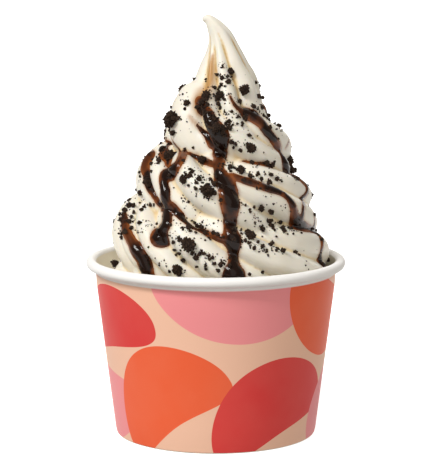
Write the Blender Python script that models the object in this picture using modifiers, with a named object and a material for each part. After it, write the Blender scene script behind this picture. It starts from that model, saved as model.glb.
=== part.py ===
"""A paper cup of soft serve: a ridged rope coiled up to a curled peak, with sauce and cookie crumbs.

Metres, +Z up. The origin is the centre of the cup's foot, and the side shown faces -Y.
"""

import math
import random

import bmesh
import bpy
from mathutils import Vector
from mathutils.bvhtree import BVHTree

MM = 0.001
GAP = 0.3 * MM  # between pieces that touch

# Cup: a paper ice cream cup of about 360 ml, 100 mm across its rim
CUP_HEIGHT = 68.6 * MM
RIM_RADIUS = 50.0 * MM
ROLL_RADIUS = 1.95 * MM
WALL_TOP_RADIUS = 46.8 * MM
WALL_FOOT_RADIUS = 38.7 * MM
PAPER = 0.6 * MM
FOOT_ROUND = 1.0 * MM
HEM_HEIGHT = 6.0 * MM  # how far the wall folds up inside the base's skirt
BASE_TOP = 7.2 * MM
SKIRT_FOOT = 1.0 * MM
TURNED_STEPS = 56
ROLL_STEPS = 9
FOOT_STEPS = 3
SHARP_ANGLE = 50.0

# Contents of the cup, below the coil and up its middle
FILL_LEVEL = 60.0 * MM
CORE_RADIUS = 20.0 * MM
CORE_TOP_RADIUS = 8.0 * MM
CORE_TOP = 120.0 * MM

# Coil: turn 0 is the lowest full tier's left side, and the rope climbs clockwise seen from above
COIL_AXIS_X = 1.6 * MM
COIL_START = -1.6
COIL_END = 1.9
COIL_SINK_START = 1.3  # from this turn on it sinks into the peak
COIL_SINK = 9.0 * MM
COIL_TURN_0_HEIGHT = 76.0 * MM
COIL_PITCH = 22.2 * MM
COIL_TILT = 2.8 * MM  # the tiers are raised this much on their high side
COIL_HIGH_SIDE = 230.0  # its azimuth in degrees from +X, towards the front left
# where the rope sags: turn, span in turns, and how far it drops, draws in and thins, in mm
COIL_SAGS = (
    (-0.5, 0.15, -1.2, -1.2, 0.0),
    (0.5, 0.15, 0.4, 0.4, 0.4),
    (1.0, 0.22, 1.6, 1.8, 1.7),
    (1.95, 0.25, 3.5, 0.5, 1.0),
)
COIL_OUTER_RADIUS = 43.0 * MM
CONE_FOOT = 68.0 * MM
CONE_HEIGHT = 94.0 * MM
CONE_FULLNESS = 1.4
ROPE_RADIUS = 17.0 * MM
ROPE_TAPER = 0.9 * MM  # loss of rope radius for each turn
ROPE_TWIST = 1.5  # turns of the ridges round the rope for each turn of the coil
TWIST_SWAY = 0.7  # how much faster the ridges twist on the left, and slower on the right
TWIST_START = 40.0  # degrees
ROPE_RIDGES = (64, 52, 58, 72, 62, 52)  # width of each ridge round the rope, in degrees
RIDGE_DEPTH = 0.26  # share of the radius
RIDGE_ROUNDNESS = 0.8
STEPS_PER_TURN = 26
STEP_SWAY = 0.35  # stations are closer by this share on the left, where the ridges twist fastest
POINTS_PER_RIDGE = 5

# Peak: stations up its leaning axis, as height, offset to the right and radius in mm
PEAK_STATIONS = (
    (100, 1.6, 14.0),
    (107, 1.6, 19.0),
    (114, 1.4, 21.8),
    (121, 1.3, 21.3),
    (128, 2.4, 18.2),
    (135, 3.6, 13.6),
    (142, 3.3, 9.8),
    (148, 2.8, 6.9),
    (153.5, 1.5, 4.7),
    (158.0, -1.0, 3.0),
    (160.2, -3.2, 1.6),
    (159.4, -5.0, 0.9),
)
PEAK_RIDGES = (73, 55, 55, 57, 58, 37, 25)
PEAK_TWIST = 95.0  # degrees that its ridges turn to the right on the way down, most of it low
PEAK_START = -74.0
PEAK_STEPS = 3

# Sauce: runs as a radius in mm and points of (degrees to the right of the front, height in mm)
SAUCE_SINK = 0.3  # depth of its centre under the surface it lies on, as a share of its radius
SAUCE_SIDES = 6
SAUCE_STEPS = 2  # stations for each listed point
SAUCE_DROP = 1.35  # share of the radius in the drop at its end
SAUCE_RUNS = (
    (3.3, ((-23, 129), (-15, 125), (-9, 121), (-2, 117), (2, 112), (1, 107), (1, 102), (4, 97), (6, 92),
           (7, 86), (6, 81), (7, 76), (8, 72), (10, 69))),
    (3.0, ((-42, 113), (-36, 109), (-40, 104), (-36, 100), (-34, 95), (-32, 89), (-33, 85), (-36, 81))),
    (2.2, ((-33, 96), (-29, 92), (-24, 88), (-18, 86), (-10, 84), (-3, 83))),
    (2.4, ((-78, 111), (-70, 107), (-64, 103), (-58, 99), (-50, 95), (-42, 92), (-35, 91))),
    (2.5, ((-82, 87), (-66, 84), (-60, 80), (-54, 76), (-50, 72), (-47, 68))),
    (2.7, ((33, 127), (42, 125), (48, 122), (55, 117), (66, 112), (73, 107), (79, 103), (77, 99), (75, 95),
           (71, 92), (64, 89))),
    (2.5, ((8, 103), (15, 102), (22, 100), (31, 98), (40, 95), (46, 92), (51, 87), (60, 83), (70, 80),
           (76, 76), (77, 72), (78, 68))),
    (3.0, ((106, 127), (114, 122), (122, 116), (128, 110), (131, 104), (134, 98), (133, 92), (136, 86),
           (138, 80))),
    (2.3, ((131, 104), (141, 100), (152, 98), (163, 95), (172, 91), (176, 86))),
    (2.8, ((166, 130), (174, 124), (180, 118), (183, 112), (187, 105), (189, 98), (194, 92), (197, 85),
           (196, 78), (198, 72))),
    (2.6, ((222, 124), (230, 118), (236, 112), (239, 106), (245, 100), (246, 93), (251, 87), (250, 81))),
)

# Crumbs: the largest, as degrees to the right of the front, height and size in mm
CRUMBS = (
    (-55, 122.7, 6.5),
    (-16, 79.3, 6.2),
    (41, 133.8, 5.0),
    (-49, 108.8, 5.0),
    (-97, 64.5, 4.6),
    (27, 113.2, 4.6),
    (-8, 98.8, 4.6),
    (16, 82.2, 4.6),
    (-4, 120.6, 4.6),
    (-18, 131.5, 4.2),
    (83, 102.6, 3.9),
    (-23, 70.0, 3.8),
    (0, 132.0, 3.5),
    (-15, 108.8, 3.5),
    (-58, 99.7, 3.5),
    (14, 105.5, 3.5),
    (27, 92.1, 3.1),
    (-24, 102.5, 3.1),
    (22, 140.5, 3.1),
    (-74, 89.5, 3.1),
    (34, 76.0, 3.1),
)
BACK_CRUMBS = 16  # scattered over the side away from the front
BACK_HEIGHTS = (70.0, 132.0)  # mm
BACK_SIZES = (3.2, 5.6)  # mm
CRUMB_LIFT = 0.2  # share of its size that a crumb's centre stands above the surface
CRUMB_JITTER = 0.18  # share of its radius by which a corner is moved
CRUMB_SEED = 11


def new_collection(name):
    collection = bpy.data.collections.new(name)
    bpy.context.scene.collection.children.link(collection)
    return collection


def add_object(name, data, collection):
    obj = bpy.data.objects.new(name, data)
    collection.objects.link(obj)
    return obj


def principled(name, color, roughness):
    material = bpy.data.materials.new(name)
    material.use_nodes = True
    shader = material.node_tree.nodes["Principled BSDF"]
    shader.inputs["Base Color"].default_value = (*color, 1.0)
    shader.inputs["Roughness"].default_value = roughness
    return material


# ---------------------------------------------------------------- cup


def wall_radius(height):
    """Outer radius of the cup's wall at a height."""
    share = height / (CUP_HEIGHT - 2 * ROLL_RADIUS)
    return WALL_FOOT_RADIUS + (WALL_TOP_RADIUS - WALL_FOOT_RADIUS) * share


def arc(centre, radius, start, end, steps):
    """Points on an arc of the profile plane, from start to end in degrees."""
    angles = [math.radians(start + (end - start) * i / steps) for i in range(steps + 1)]
    return [(centre[0] + radius * math.cos(a), centre[1] + radius * math.sin(a)) for a in angles]


def turned(name, profile, closed, collection):
    """A profile of (radius, height) points, down its outer side first, turned about Z."""
    mesh = bpy.data.meshes.new(name)
    bm = bmesh.new()
    verts = [bm.verts.new((radius, 0.0, height)) for radius, height in profile]
    for here, there in zip(verts, verts[1:] + verts[:1] * closed):
        bm.edges.new((here, there))
    bm.to_mesh(mesh)
    bm.free()
    obj = add_object(name, mesh, collection)
    screw = obj.modifiers.new("Turn", "SCREW")
    screw.steps = screw.render_steps = TURNED_STEPS
    screw.use_merge_vertices = True
    screw.merge_threshold = 0.1 * MM
    return obj


def cup_wall(collection):
    """The paper cone with its rolled rim, and its foot folded up inside the base's skirt."""
    roll = (RIM_RADIUS - ROLL_RADIUS, CUP_HEIGHT - ROLL_RADIUS)
    foot = (wall_radius(0) - FOOT_ROUND, FOOT_ROUND)
    hem = PAPER * 2 + GAP * 2
    slot_foot = PAPER
    profile = [(wall_radius(FOOT_ROUND * 2), FOOT_ROUND * 2)]
    profile += arc(foot, FOOT_ROUND, 0, -90, FOOT_STEPS)
    profile += [(wall_radius(0) - hem - PAPER, 0.0)]
    profile += [(wall_radius(HEM_HEIGHT) - hem - PAPER, HEM_HEIGHT)]
    profile += [(wall_radius(HEM_HEIGHT) - hem, HEM_HEIGHT)]
    profile += [(wall_radius(slot_foot) - hem, slot_foot)]
    profile += [(wall_radius(slot_foot) - PAPER, slot_foot)]
    profile += [(wall_radius(roll[1]) - PAPER, roll[1])]
    profile += arc(roll, ROLL_RADIUS, 160, -145, ROLL_STEPS)
    obj = turned("cup_wall", profile, True, collection)
    obj.data.materials.append(principled("printed_paper", (0.80, 0.36, 0.26), 0.5))
    return obj


def cup_base(collection):
    """The paper disc set up inside the foot, with a skirt between the wall and its hem."""
    inset = PAPER + GAP
    profile = [
        (0.0, BASE_TOP),
        (wall_radius(BASE_TOP) - inset, BASE_TOP),
        (wall_radius(SKIRT_FOOT) - inset, SKIRT_FOOT),
        (wall_radius(SKIRT_FOOT) - inset - PAPER, SKIRT_FOOT),
        (wall_radius(BASE_TOP) - inset - PAPER, BASE_TOP - PAPER),
        (0.0, BASE_TOP - PAPER),
    ]
    obj = turned("cup_base", profile, False, collection)
    obj.data.materials.append(principled("white_paper", (0.86, 0.85, 0.82), 0.6))
    return obj


# ---------------------------------------------------------------- soft serve


def ridged(widths):
    """Outline of unit radius as (radius, angle), with a round ridge for each width in degrees."""
    outline = []
    start = 0.0
    for width in widths:
        for j in range(POINTS_PER_RIDGE):
            share = j / POINTS_PER_RIDGE
            radius = 1 - RIDGE_DEPTH * (1 - math.sin(math.pi * share) ** RIDGE_ROUNDNESS)
            outline.append((radius, math.radians(start + width * share)))
        start += width
    return outline


def section_curve(name, outline, collection):
    """A closed curve through an outline of (radius, angle), to sweep along a path."""
    data = bpy.data.curves.new(name, "CURVE")
    spline = data.splines.new("POLY")
    spline.points.add(len(outline) - 1)
    for point, (radius, angle) in zip(spline.points, outline):
        point.co = (radius * math.cos(angle), radius * math.sin(angle), 0.0, 1.0)
    spline.use_cyclic_u = True
    section = add_object(name, data, collection)
    section.hide_render = True
    section.display_type = "WIRE"
    return section


def swept(name, stations, section, twist_mode, collection):
    """A rope of the section along stations of (centre, radius, twist), as a closed mesh."""
    data = bpy.data.curves.new(name, "CURVE")
    data.dimensions = "3D"
    data.twist_mode = twist_mode
    data.bevel_mode = "OBJECT"
    data.bevel_object = section
    data.use_fill_caps = True
    spline = data.splines.new("POLY")
    spline.points.add(len(stations) - 1)
    for point, (centre, radius, twist) in zip(spline.points, stations):
        point.co = (*centre, 1.0)
        point.radius = radius
        point.tilt = twist
    curve = add_object(name + "_path", data, collection)
    graph = bpy.context.evaluated_depsgraph_get()
    mesh = bpy.data.meshes.new_from_object(curve.evaluated_get(graph))
    bm = bmesh.new()
    bm.from_mesh(mesh)
    bmesh.ops.remove_doubles(bm, verts=bm.verts, dist=0.001 * MM)
    bmesh.ops.recalc_face_normals(bm, faces=bm.faces)
    bm.to_mesh(mesh)
    bm.free()
    obj = add_object(name, mesh, collection)
    obj.matrix_world = curve.matrix_world
    bpy.data.objects.remove(curve)
    return obj


def coil_station(turn):
    """Centre of the rope, its radius and the twist of its ridges at a turn of the coil."""
    around = math.pi - 2 * math.pi * turn
    height = COIL_TURN_0_HEIGHT + COIL_PITCH * turn
    climbed = max(height - CONE_FOOT, 0.0) / CONE_HEIGHT
    outer = COIL_OUTER_RADIUS * (1 - climbed**CONE_FULLNESS)
    outer -= COIL_SINK * max((turn - COIL_SINK_START) / (COIL_END - COIL_SINK_START), 0.0) ** 2
    height += COIL_TILT * math.cos(around - math.radians(COIL_HIGH_SIDE))
    outer -= max(wall_radius(FILL_LEVEL) - wall_radius(height), 0.0)
    rope = ROPE_RADIUS - ROPE_TAPER * turn
    for middle, span, drop, inset, thinning in COIL_SAGS:
        sag = math.exp(-(((turn - middle) / span) ** 2)) * MM
        height -= drop * sag
        outer -= inset * sag
        rope -= thinning * sag
    reach = outer - rope
    centre = Vector((COIL_AXIS_X + reach * math.cos(around), reach * math.sin(around), height))
    twist = ROPE_TWIST * (2 * math.pi * turn + TWIST_SWAY * math.sin(2 * math.pi * turn))
    twist += math.radians(TWIST_START)
    return centre, rope, twist


def coil(collection):
    section = section_curve("rope_section", ridged(ROPE_RIDGES), collection)
    turn = COIL_START
    stations = []
    while turn < COIL_END:
        stations.append(coil_station(turn))
        turn += 1 / STEPS_PER_TURN / (1 + STEP_SWAY * math.cos(2 * math.pi * turn))
    rope = swept("coil", stations, section, "Z_UP", collection)
    bpy.data.objects.remove(section)
    return rope


def smooth_between(values, position):
    """A smooth curve through the values, at a position counted in stations."""
    last = len(values) - 1
    index = min(int(position), last - 1)
    share = position - index
    before, here = values[max(index - 1, 0)], values[index]
    there, after = values[index + 1], values[min(index + 2, last)]
    leave, arrive = (there - before) / 2, (after - here) / 2
    rise = here - there
    return here + share * (leave + share * (-3 * rise - 2 * leave - arrive + share * (2 * rise + leave + arrive)))


def peak(collection):
    section = section_curve("peak_section", ridged(PEAK_RIDGES), collection)
    heights, offsets, radii = zip(*PEAK_STATIONS)
    last = len(heights) - 1
    stations = []
    for i in range(last * PEAK_STEPS + 1):
        position = i / PEAK_STEPS
        centre = Vector((smooth_between(offsets, position), 0.0, smooth_between(heights, position))) * MM
        twist = math.radians(PEAK_START + PEAK_TWIST * (1 - position / last) ** 1.7)
        stations.append((centre, smooth_between(radii, position) * MM, twist))
    flame = swept("peak", stations, section, "MINIMUM", collection)
    bpy.data.objects.remove(section)
    return flame


def contents(collection):
    """What fills the cup below the coil, against its wall and base."""
    foot = BASE_TOP + GAP
    inset = PAPER + GAP
    profile = [
        (0.0, CORE_TOP),
        (CORE_TOP_RADIUS, CORE_TOP),
        (CORE_RADIUS, FILL_LEVEL),
        (wall_radius(FILL_LEVEL) - inset, FILL_LEVEL),
        (wall_radius(foot) - inset, foot),
        (0.0, foot),
    ]
    return turned("soft_serve", profile, False, collection)


def surface_at(swirl, right, height):
    """Point and normal of the swirl at degrees to the right of the front and a height in mm."""
    around = math.radians(right - 90)
    inward = Vector((-math.cos(around), -math.sin(around), 0.0))
    start = Vector((COIL_AXIS_X, 0.0, height * MM)) - inward * RIM_RADIUS * 2
    hit = swirl.ray_cast(start, inward)
    return hit[0], hit[1]


def sauce_run(name, radius, points, swirl, section, collection):
    """A thick run of sauce over the swirl, thin where it starts and with a drop at its end."""
    rights, heights = zip(*points)
    count = (len(points) - 1) * SAUCE_STEPS
    path = []
    for i in range(count + 1):
        position = i / SAUCE_STEPS
        hit, normal = surface_at(swirl, smooth_between(rights, position), smooth_between(heights, position))
        path.append(hit - normal * radius * SAUCE_SINK)
    inner = [(before + here * 2 + after) / 4 for before, here, after in zip(path, path[1:], path[2:])]
    path = path[:1] + inner + path[-1:]
    stations = []
    for i, centre in enumerate(path):
        start = min(0.5 + i / 4, 1.0)
        drop = SAUCE_DROP if 1 <= count - i <= 2 else 1.0
        swell = 0.9 + 0.12 * math.sin(1.9 * i)
        tip = 0.6 if i == count else 1.0
        stations.append((centre, radius * start * drop * swell * tip, 0.0))
    return swept(name, stations, section, "MINIMUM", collection)


def sauce(swirl, collection):
    outline = [(1.0, 2 * math.pi * i / SAUCE_SIDES) for i in range(SAUCE_SIDES)]
    section = section_curve("sauce_section", outline, collection)
    for k, (radius, points) in enumerate(SAUCE_RUNS):
        sauce_run(f"sauce_{k + 1}", radius * MM, points, swirl, section, collection)
    bpy.data.objects.remove(section)


def crumbs(swirl, collection):
    draw = random.Random(CRUMB_SEED)
    placed = list(CRUMBS)
    for k in range(BACK_CRUMBS):
        right = 95 + 170 * (k + draw.random()) / BACK_CRUMBS
        placed.append((right, draw.uniform(*BACK_HEIGHTS), draw.uniform(*BACK_SIZES)))
    for k, (right, height, size) in enumerate(placed):
        hit, normal = surface_at(swirl, right, height)
        bm = bmesh.new()
        bmesh.ops.create_icosphere(bm, subdivisions=1, radius=size / 2 * MM)
        turn = Vector([draw.uniform(-1, 1) for _ in range(3)]).to_track_quat("Z", "Y")
        for vert in bm.verts:
            vert.co = turn @ vert.co * (1 + draw.uniform(-CRUMB_JITTER, CRUMB_JITTER))
            vert.co += hit + normal * size * CRUMB_LIFT * MM
        mesh = bpy.data.meshes.new(f"crumb_{k + 1}")
        bm.to_mesh(mesh)
        bm.free()
        add_object(mesh.name, mesh, collection)


def largest_shell(mesh):
    """Leaves the mesh in triangles, without the small pockets that a union closes off."""
    bm = bmesh.new()
    bm.from_mesh(mesh)
    bmesh.ops.triangulate(bm, faces=bm.faces)
    left = set(bm.faces)
    shells = []
    while left:
        shell = {left.pop()}
        front = list(shell)
        while front:
            face = front.pop()
            near = {other for edge in face.edges if edge.is_manifold for other in edge.link_faces} - shell
            shell |= near
            front.extend(near)
        left -= shell
        shells.append(shell)
    shells.sort(key=len)
    loose = [face for shell in shells[:-1] for face in shell]
    bmesh.ops.delete(bm, geom=loose, context="FACES")
    bm.to_mesh(mesh)
    bm.free()


def soft_serve(collection):
    """The contents, coil, peak, sauce and crumbs, joined."""
    pieces = new_collection("soft_serve_pieces")
    filling = contents(collection)
    bm = bmesh.new()
    bm.from_mesh(coil(pieces).data)
    bm.from_mesh(peak(pieces).data)
    swirl = BVHTree.FromBMesh(bm)
    bm.free()
    sauce(swirl, pieces)
    crumbs(swirl, pieces)

    union = filling.modifiers.new("Union", "BOOLEAN")
    union.operation = "UNION"
    union.operand_type = "COLLECTION"
    union.collection = pieces
    union.solver = "EXACT"
    union.use_self = True
    graph = bpy.context.evaluated_depsgraph_get()
    mesh = bpy.data.meshes.new_from_object(filling.evaluated_get(graph))
    largest_shell(mesh)
    filling.modifiers.clear()
    filling.data = mesh
    for piece in list(pieces.objects):
        bpy.data.objects.remove(piece)
    bpy.data.collections.remove(pieces)
    filling.data.materials.append(principled("ice_cream", (0.86, 0.79, 0.66), 0.45))
    return filling


def main():
    for obj in list(bpy.data.objects):
        bpy.data.objects.remove(obj)
    cup = new_collection("soft_serve_cup")
    cup_wall(cup)
    cup_base(cup)
    soft_serve(cup)
    for obj in cup.objects:
        obj.data.shade_smooth()
        obj.data.set_sharp_from_angle(angle=math.radians(SHARP_ANGLE))


if __name__ == "__main__":
    main()
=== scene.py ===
"""Soft serve cup: the look of a paper cup of soft serve with chocolate sauce and cookie crumbs.

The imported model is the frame. Each operator makes one piece, or one group of like pieces, around it.
Lengths are in metres with +Z up, and the side shown faces -Y.
"""

import math
import random

import bmesh
import bpy
import numpy as np
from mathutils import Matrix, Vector, noise
from mathutils.bvhtree import BVHTree


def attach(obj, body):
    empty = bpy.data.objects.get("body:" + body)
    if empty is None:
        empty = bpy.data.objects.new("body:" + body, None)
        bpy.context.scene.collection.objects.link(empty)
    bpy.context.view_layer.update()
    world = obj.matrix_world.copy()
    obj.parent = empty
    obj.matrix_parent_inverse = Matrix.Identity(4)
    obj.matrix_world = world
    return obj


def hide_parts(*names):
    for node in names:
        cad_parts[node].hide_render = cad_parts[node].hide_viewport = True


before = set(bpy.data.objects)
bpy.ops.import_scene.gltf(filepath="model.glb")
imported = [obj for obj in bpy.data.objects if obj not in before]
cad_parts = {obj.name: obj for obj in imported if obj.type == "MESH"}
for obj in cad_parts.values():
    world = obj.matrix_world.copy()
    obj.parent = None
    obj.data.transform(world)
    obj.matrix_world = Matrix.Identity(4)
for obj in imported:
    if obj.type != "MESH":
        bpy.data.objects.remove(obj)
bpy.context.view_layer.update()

bl_info = {
    "name": "Soft Serve Cup",
    "version": (1, 0, 0),
    "blender": (4, 5, 0),
    "location": "View3D > Sidebar > Soft Serve",
    "description": "Makes a paper cup of soft serve with chocolate sauce and cookie crumbs",
    "category": "Add Mesh",
}

MM = 0.001
GAP = 0.3 * MM  # between pieces that touch
MERGE = 0.01 * MM  # points of the cup nearer to each other than this become one
ROPE_MERGE = 0.001 * MM  # the same for the rope

# Cup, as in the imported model
CUP_HEIGHT = 68.6 * MM
RIM_RADIUS = 50.0 * MM
ROLL_RADIUS = 1.95 * MM
WALL_TOP_RADIUS = 46.8 * MM
WALL_FOOT_RADIUS = 38.7 * MM
PAPER = 0.6 * MM
FOOT_ROUND = 1.0 * MM
HEM_HEIGHT = 6.0 * MM
BASE_TOP = 7.2 * MM
SKIRT_FOOT = 1.0 * MM
TURNED_STEPS = 168
WALL_STEPS = 8
FOOT_STEPS = 6
ROLL_STEPS = 28
ROLL_SPAN = (160.0, -145.0)  # degrees, round the rim's roll from its inner side to its outer side
PRINT_FOOT = 0.2 * FOOT_ROUND  # the print's lower edge, where the foot is rounded
SHARP_ANGLE = 40.0  # degrees
SEAM_ANGLE = 90.0  # the wall's glued side, at the back
SEAM_WIDTH = 9.0  # degrees
SEAM_RISE = 0.25 * MM

# Contents, below the coil and up its middle
FILL_LEVEL = 60.0 * MM
CORE_RADIUS = 20.0 * MM
CORE_TOP = 120.0 * MM

# Coil: turn 0 is the lowest full tier's left side, and the rope climbs clockwise seen from above
COIL_AXIS_X = 1.6 * MM
COIL_START = -1.6
COIL_END = 1.9
COIL_SINK_START = 1.3
COIL_SINK = 9.0 * MM
COIL_TURN_0_HEIGHT = 76.0 * MM
COIL_PITCH = 22.2 * MM
COIL_TILT = 2.8 * MM
COIL_HIGH_SIDE = 230.0
# Where the rope sags: turn, span in turns, and how far it drops, draws in and thins, in mm
COIL_SAGS = (
    (-0.5, 0.15, -1.2, -1.2, 0.0),
    (0.5, 0.15, 0.4, 0.4, 0.4),
    (1.0, 0.22, 1.6, 1.8, 1.7),
    (1.95, 0.25, 3.5, 0.5, 1.0),
)
COIL_OUTER_RADIUS = 43.0 * MM
CONE_FOOT = 68.0 * MM
CONE_HEIGHT = 94.0 * MM
CONE_FULLNESS = 1.4
ROPE_RADIUS = 17.0 * MM
ROPE_TAPER = 0.9 * MM
ROPE_TWIST = 1.5
TWIST_SWAY = 0.7
TWIST_START = 40.0
ROPE_RIDGES = (64, 52, 58, 72, 62, 52)  # degrees
RIDGE_DEPTH = 0.26
RIDGE_ROUNDNESS = 0.8
STEPS_PER_TURN = 110
POINTS_PER_RIDGE = 16

# Peak: height, offset to the right and radius in mm
PEAK_STATIONS = (
    (100, 1.6, 14.0),
    (107, 1.6, 19.0),
    (114, 1.4, 21.8),
    (121, 1.3, 21.3),
    (128, 2.4, 18.2),
    (135, 3.6, 13.6),
    (142, 3.3, 9.8),
    (148, 2.8, 6.9),
    (153.5, 1.5, 4.7),
    (158.0, -1.0, 3.0),
    (160.2, -3.2, 1.6),
    (159.4, -5.0, 0.9),
)
PEAK_RIDGES = (73, 55, 55, 57, 58, 37, 25)
PEAK_TWIST = 95.0
PEAK_START = -74.0
PEAK_TWIST_EASE = 1.7
PEAK_STEPS = 10

# Ice cream surface
CREAM_VOXEL = 0.5 * MM
CREAM_SMOOTHING = 5
HIDDEN_LEVEL = 61.0 * MM  # below it only the cup sees the ice cream
HIDDEN_SHARE = 0.04  # of the triangles below that level, those that stay
CREAM_WAVE = 0.35 * MM
CREAM_WAVE_SIZE = 9.0 * MM
CREAM_WAVE_FOOT = FILL_LEVEL + 2 * MM  # the waves start here
PIECE_TRIANGLES = 190_000
# Groove depth under each point, for the painted shade in the grooves
CREASE_SMOOTHING = 30
CREASE_RANGE = 0.9 * MM  # how deep a groove is that counts as 1
CREASE_MOST = 1.3
SLENDER_FROM = 124 * MM  # from this height up the creases grow shallow, and get stronger painted shade
SLENDER_TO = 160 * MM
SLENDER_CREASES = 3.5

# Sauce: runs of points of (degrees to the right of the front, height in mm, half-width in mm)
SAUCE_RUNS = (
    # down the middle, from the peak's foot to the rim
    ((-36, 131, 1.4), (-29, 129, 2.3), (-21, 127, 2.8), (-14, 124, 3.2), (-7, 121, 3.5), (-2, 118.5, 3.7),
     (0, 116, 3.3), (0, 112.5, 2.8), (0, 110, 2.6), (-1, 108, 2.4), (-1, 105.5, 2.3), (1, 103, 3.0),
     (4, 100, 3.7), (5, 97.5, 4.1), (6, 95, 4.1), (6, 92.5, 3.4), (6, 90, 2.7), (6, 87, 2.5), (6, 84, 2.7),
     (6, 81.5, 3.4), (7, 79, 3.0), (7, 76, 2.1), (7, 73, 2.3), (7, 71, 3.3), (7, 68, 4.2)),
    ((-38, 124.5, 0.5), (-29, 121.5, 0.6), (-21, 119, 1.0), (-14, 117, 1.3), (-9, 114, 1.5)),
    # down the right
    ((13, 132.5, 0.5), (16, 130, 0.7), (23, 127, 1.4), (35, 125.5, 3.0), (44, 124, 3.2), (48, 122, 2.6),
     (50, 119.5, 2.1), (55, 117, 1.9), (62, 114, 1.7), (69, 111, 1.7), (68, 109, 1.9), (67, 106, 2.3),
     (71, 103.5, 2.7), (71, 101, 2.3), (75, 99, 1.9), (80, 97, 1.7), (78, 95.5, 1.5), (72, 93, 1.3),
     (60, 91.5, 1.2), (56, 89.5, 1.1), (56, 86.5, 1.2), (55, 84.5, 1.2)),
    ((7, 104.5, 1.1), (12, 103, 1.3), (18, 102, 1.5), (23, 101, 1.7), (29, 99.5, 1.9), (35, 98.5, 1.9),
     (41, 97, 1.9), (45, 95, 1.9), (47, 92.5, 1.9), (48, 90, 1.9), (50, 87, 2.3), (56, 84, 2.7),
     (64, 82, 2.3), (74, 80, 1.9), (76, 78, 1.7), (73, 76.5, 1.7), (71, 74.5, 1.5), (69, 72.5, 1.2),
     (70, 70, 1.5), (72, 67.5, 2.1)),
    ((22, 108, 0.6), (29, 107.5, 0.7), (35, 107, 0.8), (41, 106.5, 1.1), (48, 105.5, 1.0)),
    ((73, 86.5, 0.8), (75, 84, 0.8), (76, 82, 0.8), (84, 79, 0.8)),
    ((90, 114, 0.5), (83, 113, 0.6), (79, 111.5, 0.6)),
    # down the left, parting in two
    ((-39, 111.5, 1.5), (-33, 110, 1.9), (-32, 108, 2.3), (-34, 105.5, 3.0), (-41, 103.5, 3.0),
     (-41, 101.5, 1.9), (-39, 99.5, 1.6), (-37, 97.5, 1.9), (-37, 95, 2.4), (-36, 92.5, 2.6), (-35, 90, 2.3),
     (-33, 87.5, 2.6), (-32, 85.5, 3.0), (-35, 83, 3.7), (-35, 80.5, 4.3)),
    ((-34, 93, 1.9), (-30, 91, 1.9), (-25, 88.5, 1.7), (-21, 87, 1.3), (-16, 85, 1.1), (-13, 84, 1.1),
     (-7, 83, 1.3), (-3, 82, 1.5), (2, 81, 1.5)),
    ((-98, 114, 0.5), (-82, 112.5, 0.8), (-64, 111, 1.4), (-55, 108.5, 1.9), (-46, 107, 1.9)),
    ((-58, 116, 0.4), (-54, 114, 0.5), (-48, 112, 0.5), (-38, 110.5, 0.6), (-35, 108.5, 0.6),
     (-37, 106.5, 1.0)),
    ((-35, 111, 1.0), (-30, 110, 0.8), (-24, 109, 1.0), (-14, 108.5, 1.5), (-6, 107.5, 1.1)),
    ((-83, 110, 1.2), (-79, 108.5, 1.9), (-75, 106.5, 2.1), (-70, 104, 1.9), (-65, 102, 1.6), (-61, 100, 1.9),
     (-58, 98, 1.7), (-55, 96, 1.2), (-51, 94, 1.1), (-48, 92, 1.1), (-40, 90.5, 1.1)),
    ((-72, 87.5, 1.0), (-68, 85.5, 1.5), (-64, 83, 1.9), (-60, 81, 2.1), (-56, 78.5, 2.0), (-52, 76, 2.3),
     (-49, 74, 2.7), (-46, 71.5, 2.9), (-45, 69, 3.1), (-44, 66, 3.1)),
    # round the back
    ((106, 127, 1.5), (114, 122, 2.6), (122, 116, 2.9), (128, 110, 2.4), (131, 104, 2.2), (134, 98, 2.8),
     (133, 92, 2.0), (136, 86, 2.2), (138, 80, 3.2)),
    ((131, 104, 1.8), (141, 100, 1.9), (152, 98, 1.6), (163, 95, 1.8), (172, 91, 1.7), (176, 86, 2.5)),
    ((166, 130, 1.6), (174, 124, 2.6), (180, 118, 2.9), (183, 112, 2.3), (187, 105, 2.5), (189, 98, 2.9),
     (194, 92, 2.0), (197, 85, 2.2), (196, 78, 2.6), (198, 72, 3.3)),
    ((222, 124, 1.3), (230, 118, 2.2), (236, 112, 2.5), (239, 106, 2.0), (245, 100, 1.8), (246, 93, 2.3),
     (251, 87, 1.9), (250, 81, 2.9)),
)
RUN_STEPS = 8  # from each of a run's points to the next
RUN_SMOOTHING = 14
RUN_START = 0.55  # of its half-width, what a run starts with
RUN_SWELL = 3.0 * MM  # how far along it a run would gain its whole half-width
SAUCE_SPACING = 0.5 * MM  # between samples along a run
SAUCE_DEPTH = 0.42  # thickness, as a share of the half-width
SAUCE_TIP = 2.5 * MM  # how far from its end a run's drop is
DROP_SWELL = 0.45  # how much thicker the drop is
WIDTH_WAVE = 0.16
WIDTH_WAVE_SIZE = 3.5 * MM
DEPTH_WAVE = 0.25
DEPTH_WAVE_SIZE = 7.0 * MM
EDGE_WAVE = 1.1
EDGE_WAVE_SIZE = 8.0 * MM
EDGE_WAVE_PLACE = Vector((9.0, 0.0, 0.0))  # where in the noise the edge's waves are
EDGE_POWERS = (0.5, 1.9)  # the roundest and the flattest edge
EDGE_FALL = 0.6  # slope of the thickness below zero, beyond the edge
SAUCE_REACH = 9.0 * MM  # how far from a run the ice cream is looked at
FAR_OUT = 9.0  # half-widths from the run, for places past that reach
PLACES_AT_ONCE = 4000
SAUCE_EDGE = 0.2 * MM  # how far the sheet's edge dips under the ice cream
SAUCE_SHEET = 0.8 * MM
SAUCE_LOWEST = -1.5 * MM
GROOVE_SMOOTHING = 45
GROOVE_DEEPEST = 1.5 * MM  # the most of a groove that sauce fills
GROOVE_REACH = 1.4  # half-widths from a run where its groove starts to fill
GROOVE_FULL = 0.4 * MM  # sauce as thick as this fills the groove under it
DIRECTION_SMOOTHING = 6
SHEET_FIRM = 0.3 * MM  # sauce as thick as this has a smooth face of its own
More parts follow.
